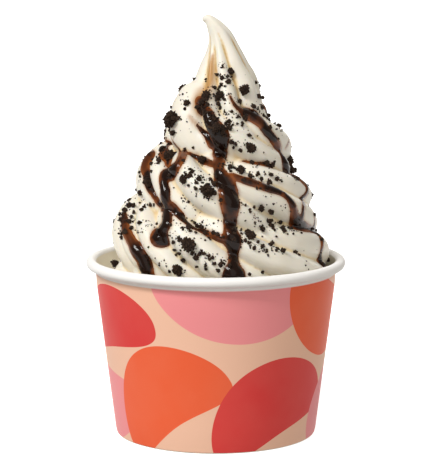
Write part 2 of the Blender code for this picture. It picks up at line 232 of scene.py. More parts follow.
SHEET_SMOOTHING = 6
BRIDGED_GROOVE = 0.5 * MM  # the sauce lies smooth over a groove as deep as this
BRIDGE_EDGE_SMOOTHING = 3
BRIDGE_SMOOTHING = 30
EDGE_SMOOTHING = 2  # of the thickness and of the stain
STAIN_REACH = 0.35 * MM  # how far beside the sauce the ice cream is stained
STAIN_STRENGTH = 0.85
THICKEST = 2.0  # mm

# Caramel stain down the peak's channel: degrees to the right of the front, height and half-width in mm
PEAK_STAIN = (
    (-27, 147, 0.7),
    (-25, 142, 1.6),
    (-24, 138, 2.4),
    (-25, 134, 3.2),
    (-27, 130, 3.7),
    (-28, 127, 3.0),
)
CARAMEL_REACH = 1.45  # half-widths from its middle where the stain ends
CARAMEL_SMOOTHING = 4

# Crumbs: degrees to the right of the front, height and size in mm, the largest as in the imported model
CRUMBS = (
    (-55, 122.7, 6.5),
    (-16, 79.3, 6.2),
    (41, 133.8, 5.0),
    (-49, 108.8, 5.0),
    (-97, 64.5, 4.6),
    (27, 113.2, 4.6),
    (-8, 98.8, 4.6),
    (16, 82.2, 4.6),
    (-4, 120.6, 4.6),
    (-18, 131.5, 4.2),
    (83, 102.6, 3.9),
    (-23, 70.0, 3.8),
    (0, 132.0, 3.5),
    (-15, 108.8, 3.5),
    (-58, 99.7, 3.5),
    (14, 105.5, 3.5),
    (27, 92.1, 3.1),
    (-24, 102.5, 3.1),
    (22, 140.5, 3.1),
    (-74, 89.5, 3.1),
    (34, 76.0, 3.1),
)
ALL_ROUND = (-180, 180)  # degrees to the right of the front
BACK_SIDE = (95, 265)
BACK_CRUMBS = 16
BACK_HEIGHTS = (70.0, 132.0)
BACK_SIZES = (3.2, 5.6)
BACK_SMALLER_CRUMBS = 26
BACK_SMALLER_SIZES = (1.8, 3.2)
CRUMB_SEED = 11
CRUMB_LIFT = 0.2
CRUMB_KINDS = 7
CRUMB_STRETCH = (0.7, 1.2)
CRUMB_ROUGHNESS = (0.38, 0.38)  # how strong a crumb's lumps and nubs are
CRUMB_FINENESS = ((3, 0.0), (4, 2.4), (5, 4.5))  # subdivisions, and the size from which a crumb has them
KIND_SEEDS = 10  # seeds kept for each of those
KIND_STEPS = (3.7, 1.3, 2.1)  # how far one kind's shape lies in the noise from the next

# A crumb's shape: a ball with broad lumps, nubs with clefts between them, and a fine roughness
CRUMB_BODY = 0.9
LUMP_SCALE = 1.1
NUB_SCALE = 1.9
NUB_SLOPE = 2.2
NUB_MIDDLE = 0.6
ROUGH_SCALE = 7
ROUGH_SHARE = 0.3  # of the nubs' strength

# Smaller crumbs: the same three values for each
SMALLER_SCALE = 0.85
SMALLER_CRUMBS = (
    # the upper left
    (-59, 132, 1.3), (-68, 127, 1.6), (-46, 129, 2.9), (-45, 127, 1.7), (-62, 120, 2.2), (-52, 118, 3.6),
    (-86, 112, 1.8), (-63, 111, 3.3), (-58, 106.5, 2.4), (-52, 107, 2.0), (-71, 102.5, 2.0), (-80, 98.5, 1.6),
    (-85, 95, 1.3), (-75, 94.5, 3.2), (-53, 104, 1.6), (-60, 100.5, 2.5), (-24, 102, 3.6),
    (-20, 100.5, 1.6), (-14, 103, 2.4), (-15, 101.5, 2.0), (-15, 99.5, 2.4), (-10, 99, 2.8), (-8, 100.5, 3.5),
    (-7, 97.5, 3.9), (-4, 100.5, 2.4), (-4, 98, 2.8), (-38, 112, 2.0), (-29, 110, 1.8), (-15, 108.5, 3.8),
    (-7, 102.5, 1.6),
    # round the peak's foot
    (-22, 129.5, 3.2), (-15, 129, 2.4), (-17, 126.5, 2.4), (14, 137, 2.6), (8, 135.5, 1.3), (3, 132.5, 3.2),
    (-5, 131, 2.8), (5, 131, 2.0), (-4, 129, 2.4), (1, 127.5, 1.7), (18, 122, 1.7), (6, 122, 2.4),
    (2, 120.5, 3.6), (9, 120.5, 3.2), (2, 119, 2.8), (31, 123.5, 2.2), (24, 122, 2.0),
    # the upper right
    (63, 131, 2.4), (62, 127, 2.4), (74, 123.5, 2.8), (84, 119, 2.9), (11, 115.5, 2.4), (13, 113.5, 1.6),
    (19, 112.5, 2.0), (29, 117.5, 2.4), (30, 107.5, 1.9), (42, 107, 2.4), (49, 106, 2.4), (7, 105.5, 1.6),
    (14, 105, 3.2), (10, 106.5, 1.6), (20, 103.5, 2.8), (15, 102.5, 2.0), (28, 102, 2.4), (41, 103, 2.8),
    (45, 101.5, 2.4), (38, 100, 3.2), (64, 115.5, 1.3), (87, 103.5, 2.0), (81, 105, 2.4), (91, 96, 1.6),
    # the lower left
    (-73, 89.5, 3.2), (-72, 88, 2.4), (-70, 85, 2.0), (-55, 89.5, 2.0), (-56, 90.5, 1.6), (-66, 86, 2.4),
    (-64, 84.5, 2.8), (-49, 85.5, 2.4), (-60, 82.5, 2.4), (-42, 85, 1.6), (-62, 79, 2.0), (-60, 81.5, 2.8),
    (-97, 66.5, 2.0), (-22, 68.5, 3.6), (-25, 77, 2.0), (-25, 80, 2.0), (-25, 75, 1.6), (-22, 76, 2.0),
    (-20, 73.5, 2.9), (-8, 76.5, 2.1), (-12, 71.5, 1.7), (-4, 75, 1.8), (-3, 73, 2.0), (-7, 71, 1.7),
    (0, 72.5, 2.4), (-1, 70.5, 2.0), (-18, 85.5, 2.4), (-15, 85, 2.4), (-11, 85, 2.0), (-9, 83, 2.0),
    (-4, 83.5, 2.0), (-2, 83, 2.0), (-12, 75, 2.8),
    # the lower right
    (33, 90.5, 2.9), (22, 92, 1.3), (27, 84, 3.2), (33, 85, 2.4), (41, 83.5, 2.4), (35, 81, 1.4),
    (28, 78.5, 2.4), (20, 80, 2.0), (22, 78.5, 2.0), (34, 76, 2.8), (47, 74.5, 2.6), (49, 83, 1.6),
    (73, 81, 1.7), (73, 86.5, 1.8), (88, 79, 1.6), (93, 67, 2.0), (23, 68.5, 1.8), (15, 68.5, 1.6),
)

# Clusters of fine crumbs: degrees to the right of the front, height, spread in mm and how many
CRUMB_CLUSTERS = (
    (5, 143, 1.9, 8), (17, 139, 2.7, 16), (-8, 135, 1.9, 6), (-12, 132, 2.3, 10), (2, 132, 3.5, 22),
    (28, 130, 2.3, 12), (-44, 129, 1.9, 4), (-18, 127, 2.3, 12), (-6, 124, 3.5, 20), (7, 126, 2.7, 14),
    (-11, 121, 3.9, 24), (2, 118, 3.1, 16), (13, 122, 2.7, 12), (-61, 119, 2.7, 10), (-49, 124, 2.3, 8),
    (31, 124, 3.1, 14), (52, 127, 2.3, 8), (66, 123, 2.7, 10), (72, 118, 1.9, 6), (15, 115, 2.7, 10),
    (28, 109, 3.1, 12), (32, 104, 3.5, 14), (13, 106, 2.7, 14), (7, 107, 2.3, 10), (-13, 103, 3.1, 20),
    (-20, 105, 2.7, 14), (-6, 102, 2.7, 14), (-55, 108, 2.7, 14), (-63, 111, 2.3, 10), (-61, 100, 2.7, 12),
    (-68, 101, 2.3, 8), (-77, 94, 2.3, 12), (-74, 90, 2.3, 12), (-73, 87, 2.7, 16), (-65, 85, 2.7, 16),
    (-90, 82, 1.9, 6), (-67, 80, 2.3, 8), (-48, 82, 2.7, 10), (-44, 85, 2.3, 8), (-16, 93, 3.5, 18),
    (-8, 96, 3.1, 16), (-24, 95, 2.3, 10), (-18, 85, 3.5, 20), (-9, 84, 3.9, 24), (0, 82, 3.5, 20),
    (-22, 81, 2.3, 10), (-13, 77, 3.1, 18), (-5, 75, 3.5, 20), (2, 73, 2.3, 10), (12, 84, 2.7, 12),
    (22, 86, 2.7, 10), (34, 85, 3.5, 16), (47, 83, 2.7, 10), (56, 85, 2.3, 6), (15, 80, 2.7, 12),
    (22, 77, 2.7, 10), (32, 77, 2.7, 8), (46, 74, 1.9, 5), (22, 89, 2.3, 8), (16, 93, 2.3, 8),
    (32, 93, 3.1, 10), (42, 91, 2.3, 8), (27, 99, 3.1, 10), (48, 101, 2.7, 8), (65, 101, 2.3, 8),
    (82, 102, 1.9, 6), (89, 91, 1.5, 4), (74, 77, 1.5, 4), (-97, 67, 1.5, 5), (-97, 64, 1.9, 8),
    (-32, 72, 2.3, 6), (-23, 69, 2.3, 8), (-54, 91, 2.3, 8), (-28, 82, 1.9, 6),
)
CLUSTER_FULLNESS = 2.9  # fine crumbs for each that a cluster counts
CLUSTER_SLOPE = math.radians(25)  # clusters lie along the ridges, down to the right
CLUSTER_TIGHTNESS = 0.75
CLUSTER_LENGTH = 1.5
CLUSTER_WIDTH = 0.7
CLUSTER_FALL = 40.0  # degrees, how steeply a cluster's crumbs fall
BACK_CLUSTERS = 46
BACK_CLUSTER_HEIGHTS = (72, 138)
BACK_CLUSTER_SPREADS = (2, 3.6)
BACK_CLUSTER_COUNTS = (8, 20)
LOOSE_CRUMBS = 520  # fine crumbs outside the clusters
LOOSE_HEIGHTS = (66, 140)
LOOSE_FALL = 30.0
SWIRL_TOP = 140  # mm, where the swirl is SWIRL_TOP_RADIUS wide, with SWIRL_SLOPE more for each mm below
SWIRL_TOP_RADIUS = 10
SWIRL_SLOPE = 0.45
DUST_SIZES = (0.3, 0.85)  # mm
GRAIN_SIZES = (0.8, 2.0)
GRAIN_SHARE = 0.16  # of the fine crumbs, the rest being dust
FINE_LIFT = 0.1
FINE_SEED = 29
FINE_KINDS = 6
FINE_SHAPES = ((1, 0.6, 0.4, 31), (2, 0.5, 0.45, 41))  # dust and grains: subdivisions, lumps, nubs, seed
STEEP_STAY = 0.45  # chance that a fine crumb stays on an upright face
LEVEL_STAY = 0.8  # how much more it is on a level one

# Print on the cup: each patch's degrees to the right of the front, height, half-width and half-height in mm,
# tilt in degrees, bend, and which of the print's colours it has
PEBBLES = (
    (-66, 49, 26, 12, 10, 0.5, "red"),
    (-82, 14, 27, 14, -10, -0.5, "pink"),
    (-32, 24, 27, 16, 34, 0.7, "coral"),
    (8, 55, 31, 12, -8, -0.7, "pink"),
    (30, 20, 29, 15, 22, 0.7, "red"),
    (66, 48, 26, 14, -22, -0.6, "coral"),
    (96, 17, 28, 14, 12, 0.5, "pink"),
    (122, 51, 28, 12, -12, 0.6, "red"),
    (150, 23, 26, 16, 28, -0.7, "coral"),
    (184, 53, 29, 12, -12, 0.6, "pink"),
    (208, 19, 28, 14, 16, -0.6, "red"),
    (244, 44, 25, 15, -22, 0.6, "coral"),
)

# Materials: the node groups' inputs, and strengths and colours beside those that the look holds
GRAIN_INPUTS = ("Scale", "Detail", "Roughness", "Low", "High")
PEBBLE_INPUTS = ("Azimuth", "Height", "Half Width", "Half Height", "Tilt", "Bend")
MOTTLE = 0.12
# Painted shade in the ice cream's grooves: how much is mixed in, and the darker colour deepest down
CREASE_SHADE_STRENGTH = 0.95
DEEP_SHADE_STRENGTH = 0.85
DEEP_CREASE_SHADE = (0.56, 0.35, 0.12)
CARAMEL = (0.50, 0.26, 0.072)
SAUCE_STAIN = (0.42, 0.19, 0.05)
STREAKS = 0.75  # mm, of thickness
SAUCE_MIDDLE = (0.105, 0.027, 0.007)
CRUMB_GRAIN = (0.068, 0.036, 0.02)
PEBBLE_POWER = 2.3  # 2 makes an ellipse, and more a squarer patch
PEBBLE_EDGE = (1.01, 0.99)
PRINT_EDGE = (0.3, 0.38)
LINING_EDGE = (-0.2, -0.9)
INK_FADING = 0.03
# The lining's colour: the paper warmed toward cream, painted light thrown on it by the ice cream
LINING_PAINTED_BOUNCE = (0.97, 0.93, 0.82)
FIBRE_STRENGTH = 0.3
PAPER_FIBRE = (0.80, 0.78, 0.74)
FLOOR_COLOURS = ((0.93, 0.93, 0.93), (0.95, 0.95, 0.95))

# Stage
FLOOR_SIZE = 24.0
WORLD_COLOUR = (1.0, 0.945, 0.86, 1.0)
WORLD_STRENGTH = 0.38
# name, degrees to the right of the front, degrees above level, spread in degrees, strength, colour
LIGHTS = (
    ("key_light", -50.0, 44.0, 16.0, 1.75, (1.0, 0.99, 0.97)),
    ("front_light", 8.0, 25.0, 60.0, 0.62, (1.0, 0.955, 0.90)),
    ("glint_light", -30.0, 50.0, 3.5, 0.45, (1.0, 1.0, 1.0)),
    ("back_light", 168.0, 22.0, 50.0, 0.75, (1.0, 0.98, 0.95)),
)

# Camera, fitted to the photograph's rim, foot and sides
CAMERA_PLACE = (-1.066 * MM, -821.58 * MM, 204.83 * MM)
CAMERA_PITCH = 8.809  # degrees below level
CAMERA_LENS = 166.2  # mm
CAMERA_SENSOR = 36.0  # mm


def colour_property(name, description, default):
    """A colour that a user may change."""
    return bpy.props.FloatVectorProperty(
        name=name, description=description, subtype="COLOR", size=3, min=0, max=1, default=default)


class SoftServeLook(bpy.types.PropertyGroup):
    """Colours and sizes of the soft serve cup."""

    cream: colour_property("Ice Cream", "Colour of the soft serve", (0.865, 0.83, 0.74))
    # Painted shade: the warmer, darker colour mixed in deep between the ridges, where shade falls; the mottle
    # also leans toward it
    crease_shade: colour_property("Creases", "Warmer colour deep between the ridges", (0.80, 0.66, 0.42))
    sauce: colour_property("Sauce", "Colour of the sauce where it is thick", (0.011, 0.0035, 0.0015))
    sauce_edge: colour_property("Sauce Edge", "Colour of the sauce where it is thin", (0.23, 0.066, 0.016))
    crumb: colour_property("Crumbs", "Colour of the cookie crumbs", (0.018, 0.010, 0.0065))
    paper: colour_property("Paper", "Colour of the unprinted paper", (0.96, 0.955, 0.95))
    ground: colour_property("Print Ground", "Ground colour of the print", (0.95, 0.58, 0.42))
    red: colour_property("Print Red", "Red of the print", (0.74, 0.048, 0.045))
    pink: colour_property("Print Pink", "Pink of the print", (0.94, 0.31, 0.33))
    coral: colour_property("Print Coral", "Orange of the print", (0.90, 0.13, 0.045))
    fine_share: bpy.props.FloatProperty(
        name="Fine Crumbs", description="How many fine crumbs lie on the swirl, as a share of the usual",
        subtype="FACTOR", min=0, max=2, default=1.0)
    seam_rise: bpy.props.FloatProperty(
        name="Seam", description="How far the wall's glued seam stands out", unit="LENGTH",
        min=0, max=0.001, default=SEAM_RISE)


# ---------------------------------------------------------------- tools


def make_active(obj):
    """Leaves one object selected."""
    bpy.ops.object.select_all(action="DESELECT")
    obj.select_set(True)
    bpy.context.view_layer.objects.active = obj


def apply_modifiers(obj):
    make_active(obj)
    for modifier in list(obj.modifiers):
        bpy.ops.object.modifier_apply(modifier=modifier.name)


def add_object(name, data):
    obj = bpy.data.objects.new(name, data)
    bpy.context.scene.collection.objects.link(obj)
    return obj


def join(objects, name):
    """One object of them all."""
    make_active(objects[0])
    for obj in objects:
        obj.select_set(True)
    bpy.ops.object.join()
    objects[0].name = objects[0].data.name = name
    return objects[0]


def finish_piece(obj, material, node):
    """Gives a piece its material, its body and the node it stands for."""
    obj.data.materials.clear()
    obj.data.materials.append(material)
    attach(obj, "root")
    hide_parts(node)


def positions(mesh):
    places = np.empty(len(mesh.vertices) * 3)
    mesh.vertices.foreach_get("co", places)
    return places.reshape(-1, 3)


def normals(mesh):
    directions = np.empty(len(mesh.vertices) * 3)
    mesh.vertex_normals.foreach_get("vector", directions)
    return directions.reshape(-1, 3)


def averaged(mesh, values, rounds):
    """Values of the mesh's points, each blended with its neighbours' again and again."""
    pairs = np.empty(len(mesh.edges) * 2, dtype=np.int64)
    mesh.edges.foreach_get("vertices", pairs)
    pairs = pairs.reshape(-1, 2)
    count = np.bincount(pairs.ravel(), minlength=len(mesh.vertices))[:, None]
    values = values.reshape(len(mesh.vertices), -1)
    for _ in range(rounds):
        total = np.zeros_like(values)
        for column in range(values.shape[1]):
            total[:, column] = np.bincount(pairs[:, 0], values[pairs[:, 1], column], len(values))
            total[:, column] += np.bincount(pairs[:, 1], values[pairs[:, 0], column], len(values))
        values = (values + total / np.maximum(count, 1)) / 2
    return values


def set_attribute(mesh, name, values):
    """Keeps a value for each of the mesh's points."""
    attribute = mesh.attributes.new(name, "FLOAT", "POINT")
    attribute.data.foreach_set("value", np.asarray(values, dtype=np.float32).ravel())


def surface_of(*objects):
    """The objects' surfaces, to look for places on."""
    bm = bmesh.new()
    for obj in objects:
        bm.from_mesh(obj.data)
    tree = BVHTree.FromBMesh(bm)
    bm.free()
    return tree


def smooth_between(values, position):
    """A smooth curve through the values, at a position counted in stations."""
    last = len(values) - 1
    index = min(int(position), last - 1)
    share = position - index
    before, here = values[max(index - 1, 0)], values[index]
    there, after = values[index + 1], values[min(index + 2, last)]
    leave, arrive = (there - before) / 2, (after - here) / 2
    rise = here - there
    square, cube = -3 * rise - 2 * leave - arrive, 2 * rise + leave + arrive
    return here + share * (leave + share * (square + share * cube))


def surface_at(swirl, right, height, steep=0.0):
    """Point and normal of the swirl at degrees to the right of the front and a height in mm.

    The look is level, or comes from above by steep degrees.
    """
    around = math.radians(right - 90)
    fall = math.radians(steep)
    level = Vector((-math.cos(around), -math.sin(around), 0.0))
    inward = level * math.cos(fall) - Vector((0.0, 0.0, math.sin(fall)))
    aim = Vector((COIL_AXIS_X, 0.0, height * MM))
    if steep:
        near = swirl.ray_cast(aim - level * RIM_RADIUS * 2, level)
        aim = near[0] if near[0] is not None else aim
    hit = swirl.ray_cast(aim - inward * RIM_RADIUS * 2, inward)
    return hit[0], hit[1]


# ---------------------------------------------------------------- materials


def new_material(name):
    """A material, its node tree and its shader."""
    material = bpy.data.materials.new(name)
    material.use_nodes = True
    return material, material.node_tree, material.node_tree.nodes["Principled BSDF"]


def feed(tree, socket, value):
    """Gives a socket another socket's value, a number or a colour."""
    if isinstance(value, bpy.types.NodeSocket):
        tree.links.new(value, socket)
    elif isinstance(value, (int, float)):
        socket.default_value = value
    else:
        socket.default_value = (*value, 1.0)


def mix_colour(tree, factor, first, second):
    """A colour mix, whose factor and colours may each be a socket or a value."""
    mix = tree.nodes.new("ShaderNodeMix")
    mix.data_type = "RGBA"
    for index, value in ((0, factor), (6, first), (7, second)):
        feed(tree, mix.inputs[index], value)
    return mix.outputs[2]


def math_node(tree, operation, *values):
    """One operation on values, each a socket or a number."""
    node = tree.nodes.new("ShaderNodeMath")
    node.operation = operation
    for socket, value in zip(node.inputs, values):
        feed(tree, socket, value)
    return node.outputs[0]


def share_of(tree, value, share):
    """A value times a share."""
    return math_node(tree, "MULTIPLY", value, share)


def map_range(tree, value, low, high):
    """A smooth step from 0 to 1 while the value goes from low to high."""
    node = tree.nodes.new("ShaderNodeMapRange")
    node.interpolation_type = "SMOOTHSTEP"
    for name, given in (("Value", value), ("From Min", low), ("From Max", high)):
        feed(tree, node.inputs[name], given)
    return node.outputs["Result"]


def attribute_value(tree, name):
    """What the piece's mesh holds under a name."""
    node = tree.nodes.new("ShaderNodeAttribute")
    node.attribute_name = name
    return node.outputs["Fac"]


def object_place(tree):
    """Object coordinates."""
    return tree.nodes.new("ShaderNodeTexCoord").outputs["Object"]


def turned_place(tree, place, angle):
    """The x, y and z of a place turned about Z."""
    turn = tree.nodes.new("ShaderNodeVectorRotate")
    turn.rotation_type = "Z_AXIS"
    feed(tree, turn.inputs["Vector"], place)
    feed(tree, turn.inputs["Angle"], angle)
    split = tree.nodes.new("ShaderNodeSeparateXYZ")
    feed(tree, split.inputs[0], turn.outputs["Vector"])
    return split.outputs


def new_group(name, inputs, outputs):
    """An empty node group, what it is given and its results."""
    group = bpy.data.node_groups.new(name, "ShaderNodeTree")
    for direction, sockets in (("INPUT", inputs), ("OUTPUT", outputs)):
        for socket in sockets:
            group.interface.new_socket(socket, in_out=direction, socket_type="NodeSocketFloat")
    return group, group.nodes.new("NodeGroupInput").outputs, group.nodes.new("NodeGroupOutput").inputs


def place_group(tree, group, values):
    """The outputs of a group placed in a material with its own values."""
    node = tree.nodes.new("ShaderNodeGroup")
    node.node_tree = group
    for socket, value in zip(node.inputs, values):
        socket.default_value = value
    return node.outputs


def grain_group():
    """Noise on Object coordinates, as a height and as a mask of where it goes from low to high."""
    group, given, result = new_group("surface_grain", GRAIN_INPUTS, ("Height", "Mask"))
    texture = group.nodes.new("ShaderNodeTexNoise")
    feed(group, texture.inputs["Vector"], object_place(group))
    for name in ("Scale", "Detail", "Roughness"):
        feed(group, texture.inputs[name], given[name])
    height = texture.outputs["Fac"]
    feed(group, result["Height"], height)
    feed(group, result["Mask"], map_range(group, height, given["Low"], given["High"]))
    return group


def grain(tree, scale, detail=2.0, roughness=0.5, low=0.0, high=1.0):
    """The grain placed in a material, with the scale in features per metre."""
    group = bpy.data.node_groups.get("surface_grain") or grain_group()
    return place_group(tree, group, (scale, detail, roughness, low, high))


def pebble_group():
    """Mask of one rounded, bent patch of print on the cup's wall."""
    group, given, result = new_group("print_pebble", PEBBLE_INPUTS, ("Mask",))
    away = math_node(group, "MULTIPLY", given["Azimuth"], -1.0)
    x, y, z = turned_place(group, object_place(group), away)
    around = math_node(group, "ARCTAN2", y, x)
    flat = group.nodes.new("ShaderNodeCombineXYZ")
    mean_radius = (WALL_TOP_RADIUS + WALL_FOOT_RADIUS) / 2
    feed(group, flat.inputs[0], math_node(group, "MULTIPLY", around, mean_radius))
    feed(group, flat.inputs[1], math_node(group, "SUBTRACT", z, given["Height"]))

    x, y, _ = turned_place(group, flat.outputs[0], given["Tilt"])
    x = math_node(group, "DIVIDE", x, given["Half Width"])
    y = math_node(group, "DIVIDE", y, given["Half Height"])
    sag = math_node(group, "MULTIPLY", math_node(group, "MULTIPLY", x, x), given["Bend"])
    y = math_node(group, "ADD", y, sag)
    reach = math_node(group, "ADD", *(
        math_node(group, "POWER", math_node(group, "ABSOLUTE", side), PEBBLE_POWER) for side in (x, y)))
    feed(group, result["Mask"], map_range(group, reach, *PEBBLE_EDGE))
    return group


def bump(tree, shader, height, strength, distance):
    """Relief too fine for the mesh."""
    node = tree.nodes.new("ShaderNodeBump")
    node.inputs["Strength"].default_value = strength
    node.inputs["Distance"].default_value = distance
    tree.links.new(height, node.inputs["Height"])
    tree.links.new(node.outputs["Normal"], shader.inputs["Normal"])


def cream_material(look):
    material, tree, shader = new_material("soft_serve_cream")
    hollow = attribute_value(tree, "crease_shade")
    colour = look.cream
    # Painted shade: the ice cream turns warmer and darker the deeper it lies in a groove; the mottle is
    # random tone, and the caramel and sauce stains are its own colour
    for mask, tint in (
        (share_of(tree, grain(tree, scale=90.0, low=0.35, high=0.75)["Mask"], MOTTLE), look.crease_shade),
        (share_of(tree, map_range(tree, hollow, 0.0, 0.5), CREASE_SHADE_STRENGTH), look.crease_shade),
        (share_of(tree, map_range(tree, hollow, 0.4, 1.0), DEEP_SHADE_STRENGTH), DEEP_CREASE_SHADE),
        (attribute_value(tree, "caramel"), CARAMEL),
        (attribute_value(tree, "stain"), SAUCE_STAIN),
    ):
        colour = mix_colour(tree, mask, colour, tint)
    tree.links.new(colour, shader.inputs["Base Color"])
    shader.inputs["Roughness"].default_value = 0.42
    shader.inputs["Subsurface Weight"].default_value = 0.2
    shader.inputs["Subsurface Radius"].default_value = (1.0, 0.75, 0.45)
    shader.inputs["Subsurface Scale"].default_value = 1.6 * MM
    shader.inputs["Specular IOR Level"].default_value = 0.45
    pits = grain(tree, scale=700.0, detail=4.0, roughness=0.6)["Height"]
    bump(tree, shader, pits, strength=0.18, distance=0.3 * MM)
    return material


def sauce_material(look):
    material, tree, shader = new_material("chocolate_sauce")
    streak = share_of(tree, grain(tree, scale=170.0, low=0.36, high=0.62)["Mask"], STREAKS)
    thick = math_node(tree, "ADD", attribute_value(tree, "thickness"), streak)
    colour = mix_colour(tree, map_range(tree, thick, 0.3, 0.75), look.sauce_edge, SAUCE_MIDDLE)
    colour = mix_colour(tree, map_range(tree, thick, 0.62, 1.35), colour, look.sauce)
    tree.links.new(colour, shader.inputs["Base Color"])
    shader.inputs["Roughness"].default_value = 0.12
    shader.inputs["Specular IOR Level"].default_value = 0.2
    bump(tree, shader, grain(tree, scale=420.0)["Height"], strength=0.12, distance=0.3 * MM)
    return material


def crumb_material(look):
    material, tree, shader = new_material("cookie_crumb")
    specks = grain(tree, scale=1400.0, detail=4.0, roughness=0.7, low=0.4, high=0.72)["Mask"]
    tree.links.new(mix_colour(tree, specks, look.crumb, CRUMB_GRAIN), shader.inputs["Base Color"])
    shader.inputs["Roughness"].default_value = 0.82
    shader.inputs["Specular IOR Level"].default_value = 0.2
    pits = grain(tree, scale=2200.0, detail=5.0, roughness=0.7)["Height"]
    bump(tree, shader, pits, strength=0.7, distance=0.4 * MM)
    return material


def paper_finish(tree, shader):
    """Coated paper: a satin face with faint fibres."""
    shader.inputs["Roughness"].default_value = 0.5
    shader.inputs["Specular IOR Level"].default_value = 0.14
    bump(tree, shader, grain(tree, scale=900.0, detail=3.0)["Height"], strength=0.08, distance=0.2 * MM)


def print_material(look):
    material, tree, shader = new_material("printed_paper")
    group = pebble_group()
    colour = look.ground
    for azimuth, height, half_width, half_height, tilt, bend, name in PEBBLES:
        sizes = (height * MM, half_width * MM, half_height * MM)
        values = (math.radians(azimuth - 90), *sizes, math.radians(-tilt), bend)
        colour = mix_colour(tree, place_group(tree, group, values)["Mask"], colour, getattr(look, name))
    ink = share_of(tree, grain(tree, scale=60.0, low=0.3, high=0.7)["Mask"], INK_FADING)
    colour = mix_colour(tree, ink, colour, look.ground)
    printed = attribute_value(tree, "printed")
    colour = mix_colour(tree, map_range(tree, printed, *PRINT_EDGE), look.paper, colour)
    # The lining gets the paper's colour warmed toward cream: painted light from the ice cream
    colour = mix_colour(tree, map_range(tree, printed, *LINING_EDGE), colour, LINING_PAINTED_BOUNCE)
    tree.links.new(colour, shader.inputs["Base Color"])
    paper_finish(tree, shader)
    return material


def white_paper_material(look):
    material, tree, shader = new_material("white_paper")
    fibre = share_of(tree, grain(tree, scale=500.0, detail=3.0, low=0.3, high=0.8)["Mask"], FIBRE_STRENGTH)
    tree.links.new(mix_colour(tree, fibre, look.paper, PAPER_FIBRE), shader.inputs["Base Color"])
    paper_finish(tree, shader)
    return material


def floor_material():
    material, tree, shader = new_material("pale_floor")
    specks = grain(tree, scale=3.0, low=0.3, high=0.7)["Mask"]
    tree.links.new(mix_colour(tree, specks, *FLOOR_COLOURS), shader.inputs["Base Color"])
    shader.inputs["Roughness"].default_value = 0.9
    shader.inputs["Emission Color"].default_value = (1.0, 1.0, 1.0, 1.0)
    shader.inputs["Emission Strength"].default_value = 0.7
    return material


# ---------------------------------------------------------------- cup


def wall_radius(height):
    """Outer radius of the cup's wall at a height."""
    share = height / (CUP_HEIGHT - 2 * ROLL_RADIUS)
    return WALL_FOOT_RADIUS + (WALL_TOP_RADIUS - WALL_FOOT_RADIUS) * share


def arc(centre, radius, start, end, steps):
    """Points round a centre, from one angle in degrees to another."""
    angles = [math.radians(start + (end - start) * i / steps) for i in range(steps + 1)]
    return [(centre[0] + radius * math.cos(a), centre[1] + radius * math.sin(a)) for a in angles]


def turned(name, profile, closed):
    """A profile of (radius, height) points, down its outer side first, turned about Z."""
    mesh = bpy.data.meshes.new(name)
    bm = bmesh.new()
    verts = [bm.verts.new((radius, 0.0, height)) for radius, height in profile]
    for here, there in zip(verts, verts[1:] + verts[:1] * closed):
        bm.edges.new((here, there))
    bm.to_mesh(mesh)
    bm.free()
    obj = add_object(name, mesh)
    screw = obj.modifiers.new("Turn", "SCREW")
    screw.steps = screw.render_steps = TURNED_STEPS
    screw.use_merge_vertices = True
    screw.merge_threshold = MERGE
    apply_modifiers(obj)
    bpy.ops.object.shade_smooth_by_angle(angle=math.radians(SHARP_ANGLE))
    return obj


def make_cup_wall(look):
    roll = (RIM_RADIUS - ROLL_RADIUS, CUP_HEIGHT - ROLL_RADIUS)
    foot = (wall_radius(0) - FOOT_ROUND, FOOT_ROUND)
    hem = PAPER * 2 + GAP * 2
    print_top = CUP_HEIGHT - 2 * ROLL_RADIUS
    heights = [FOOT_ROUND * 2 + print_top * i / WALL_STEPS for i in reversed(range(WALL_STEPS))]
    profile = [(wall_radius(height), height) for height in heights]
    profile += arc(foot, FOOT_ROUND, 0, -90, FOOT_STEPS)
    profile += [
        (wall_radius(height) - inset, height)
        for height, inset in (
            (0.0, hem + PAPER),
            (HEM_HEIGHT, hem + PAPER),
            (HEM_HEIGHT, hem),
            (PAPER, hem),
            (PAPER, PAPER),
            (roll[1], PAPER),
        )
    ]
    profile += arc(roll, ROLL_RADIUS, *ROLL_SPAN, ROLL_STEPS)
    obj = turned("cup_wall_paper", profile, True)

    # printed: 1 on the outer face, 0 on the rim, -1 on the lining; the outer layer laps over at the seam
    printed = np.zeros(len(obj.data.vertices))
    for vert in obj.data.vertices:
        radius = math.hypot(vert.co.x, vert.co.y)
        outside = PRINT_FOOT < vert.co.z < print_top and radius > wall_radius(vert.co.z) - PAPER / 2
        lining = vert.co.z < BASE_TOP or abs(vert.co.z - roll[1]) < PAPER / 4 and radius < roll[0]
        printed[vert.index] = 1.0 if outside else -1.0 if lining else 0.0
        past = math.degrees(math.atan2(vert.co.y, vert.co.x)) - SEAM_ANGLE
        if outside and 0 <= past <= SEAM_WIDTH:
            rise = look.seam_rise * min(1.0, (SEAM_WIDTH - past) / SEAM_WIDTH * 2)
            vert.co.x *= 1 + rise / radius
            vert.co.y *= 1 + rise / radius
    set_attribute(obj.data, "printed", printed)
    finish_piece(obj, print_material(look), "cup_wall")


def make_cup_base(look):
    inset = PAPER + GAP
    profile = [
        (0.0, BASE_TOP),
        (wall_radius(BASE_TOP) - inset, BASE_TOP),
        (wall_radius(SKIRT_FOOT) - inset, SKIRT_FOOT),
        (wall_radius(SKIRT_FOOT) - inset - PAPER, SKIRT_FOOT),
        (wall_radius(BASE_TOP) - inset - PAPER, BASE_TOP - PAPER),
        (0.0, BASE_TOP - PAPER),
    ]
    obj = turned("cup_base_paper", profile, False)
    finish_piece(obj, white_paper_material(look), "cup_base")


# ---------------------------------------------------------------- ice cream


